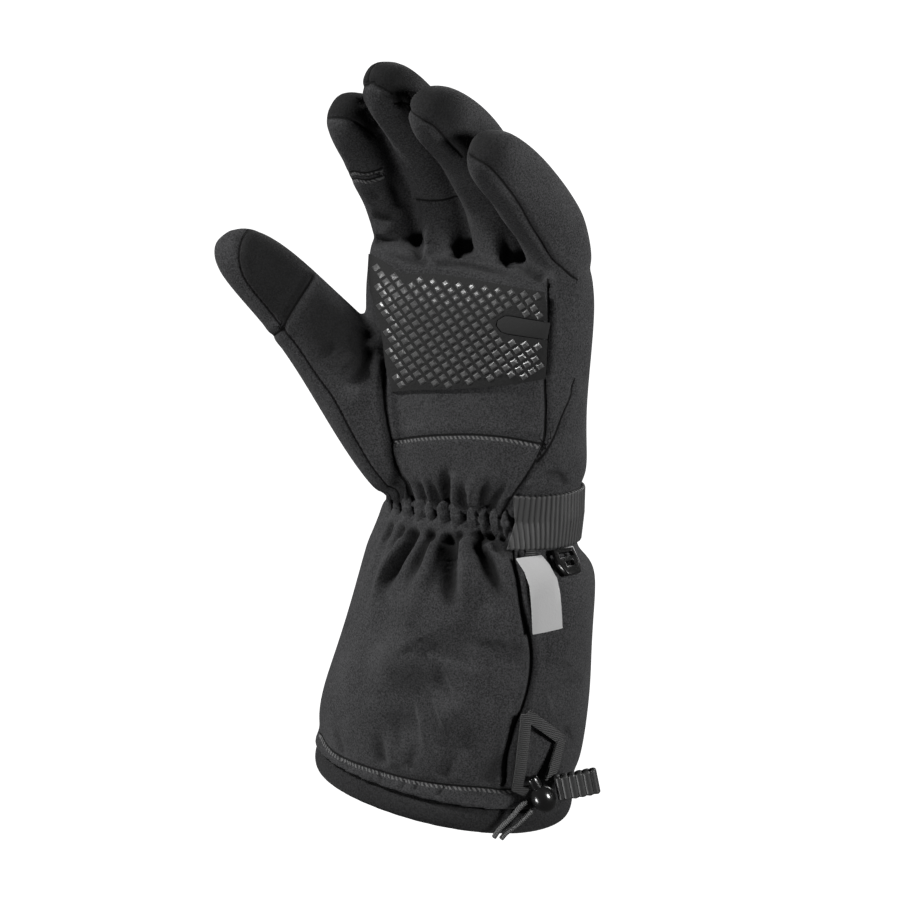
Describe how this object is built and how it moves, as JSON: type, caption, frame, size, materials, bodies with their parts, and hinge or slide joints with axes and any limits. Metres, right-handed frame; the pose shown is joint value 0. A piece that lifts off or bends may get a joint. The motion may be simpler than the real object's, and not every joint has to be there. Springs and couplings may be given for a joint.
{
  "type": "heated glove",
  "caption": "Padded winter glove for the left hand: curved fingers, ribbed grip patch on the palm, gathered wrist with webbing strap, long cuff with cord lock at the hem.",
  "frame": {"origin": "middle of the cuff's mouth, where the hand goes in", "axes": "+Z from the cuff's mouth to the fingertips, palm to -Y, thumb to -X"},
  "size_m": [0.1587, 0.1021, 0.3117],
  "materials": {
    "softshell": "brushed stretch fabric, matt, with a faint heather",
    "grip": "synthetic leather with raised glossy silicone lozenges",
    "webbing": "ribbed woven tape",
    "label": "smooth woven label, bare",
    "moulding": "moulded, semi-gloss",
    "tab_rubber": "folded tape with raised ribs",
    "cord": "braided"
  },
  "bodies": {
    "glove": {"gauntlet": "softshell", "inner_cuff": "softshell", "hand_shell": "softshell", "index_finger": "softshell", "middle_finger": "softshell", "ring_finger": "softshell", "little_finger": "softshell", "thumb": "softshell", "palm_grip": "grip", "palm_tab": "grip", "wrist_strap": "webbing", "clip_loop": "webbing", "label": "label", "glove_clip": "moulding", "tether_tape": "webbing", "cord_lock_body": "moulding", "pull_tab": "tab_rubber", "drawcord_front": "cord", "drawcord_rear": "cord"},
    "lock_button": {"cord_lock_plunger": "moulding"}
  },
  "joints": [
    {"name": "lock_press", "type": "slide", "parent": "glove", "child": "lock_button", "axis": [0.331, 0.3611, -0.8718], "range_m": [0, 0.0025], "stiffness_N_per_m": 400}
  ]
}
